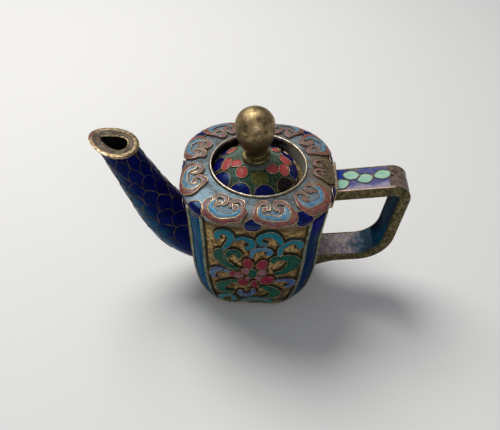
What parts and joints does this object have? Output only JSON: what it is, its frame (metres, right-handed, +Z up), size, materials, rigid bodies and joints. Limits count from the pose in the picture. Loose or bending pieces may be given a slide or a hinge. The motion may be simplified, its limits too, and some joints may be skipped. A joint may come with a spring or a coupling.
{
  "type": "miniature teapot",
  "caption": "Small square-bodied cloisonne teapot with a tapering body, round inset lid with egg-shaped knob, curved spout and flat strap handle.",
  "frame": {"origin": "middle of the flat underside of the base plate, on the surface the teapot stands on", "axes": "+X towards the handle (the spout points to -X), +Y away from the front panel, +Z up"},
  "size_m": [0.0764, 0.0368, 0.0556],
  "materials": {
    "gilt": "worn gilding",
    "brass": "bare, tarnished",
    "copper": "bare copper sheet",
    "teal_enamel": "fired glass enamel, polished",
    "navy_enamel": "fired glass enamel, polished",
    "coral_enamel": "fired glass enamel, polished",
    "turquoise_enamel": "fired glass enamel, polished",
    "pale_enamel": "fired glass enamel, polished",
    "green_enamel": "fired glass enamel, polished",
    "periwinkle_enamel": "fired glass enamel, polished"
  },
  "bodies": {
    "pot": {"base_plate": "brass", "foot_wire": "gilt", "body_shell": "copper", "front_panel": "gilt", "front_frame": "brass", "corner_band_1": "teal_enamel", "handle_side_panel": "gilt", "handle_side_frame": "brass", "corner_band_2": "teal_enamel", "back_panel": "gilt", "back_frame": "brass", "corner_band_3": "teal_enamel", "spout_side_panel": "gilt", "spout_side_frame": "brass", "corner_band_4": "teal_enamel", "front_scrollwork": "turquoise_enamel", "back_scrollwork": "turquoise_enamel", "collar_ground": "pale_enamel", "cloud_head_1": "coral_enamel", "lappet_1": "navy_enamel", "cloud_head_2": "coral_enamel", "lappet_2": "navy_enamel", "cloud_head_3": "coral_enamel", "lappet_3": "navy_enamel", "cloud_head_4": "coral_enamel", "lappet_4": "navy_enamel", "cloud_head_5": "coral_enamel", "lappet_5": "navy_enamel", "cloud_head_6": "coral_enamel", "lappet_6": "navy_enamel", "cloud_head_7": "coral_enamel", "lappet_7": "navy_enamel", "cloud_head_8": "coral_enamel", "lappet_8": "navy_enamel", "cloud_head_9": "coral_enamel", "lappet_9": "navy_enamel", "cloud_head_10": "coral_enamel", "lappet_10": "navy_enamel", "mouth_ring": "gilt", "lid_seat": "brass", "spout_tube": "navy_enamel", "spout_lip": "gilt", "handle_strap": "brass", "handle_outer_inlay": "periwinkle_enamel", "handle_inner_inlay": "teal_enamel", "handle_plate": "gilt"},
    "lid": {"lid_dome": "copper", "lid_skirt": "brass", "lid_border": "navy_enamel", "lid_field": "green_enamel", "lid_sprig_1": "coral_enamel", "lid_sprig_2": "coral_enamel", "lid_sprig_3": "coral_enamel", "lid_sprig_4": "coral_enamel", "crown_disc": "pale_enamel", "knob_ring": "gilt", "knob": "gilt", "stem_washer": "brass", "knob_stem": "brass"}
  },
  "joints": [
    {"name": "lid_lift", "type": "slide", "parent": "pot", "child": "lid", "axis": [0, 0, 1], "range_m": [0, 0.03]}
  ]
}
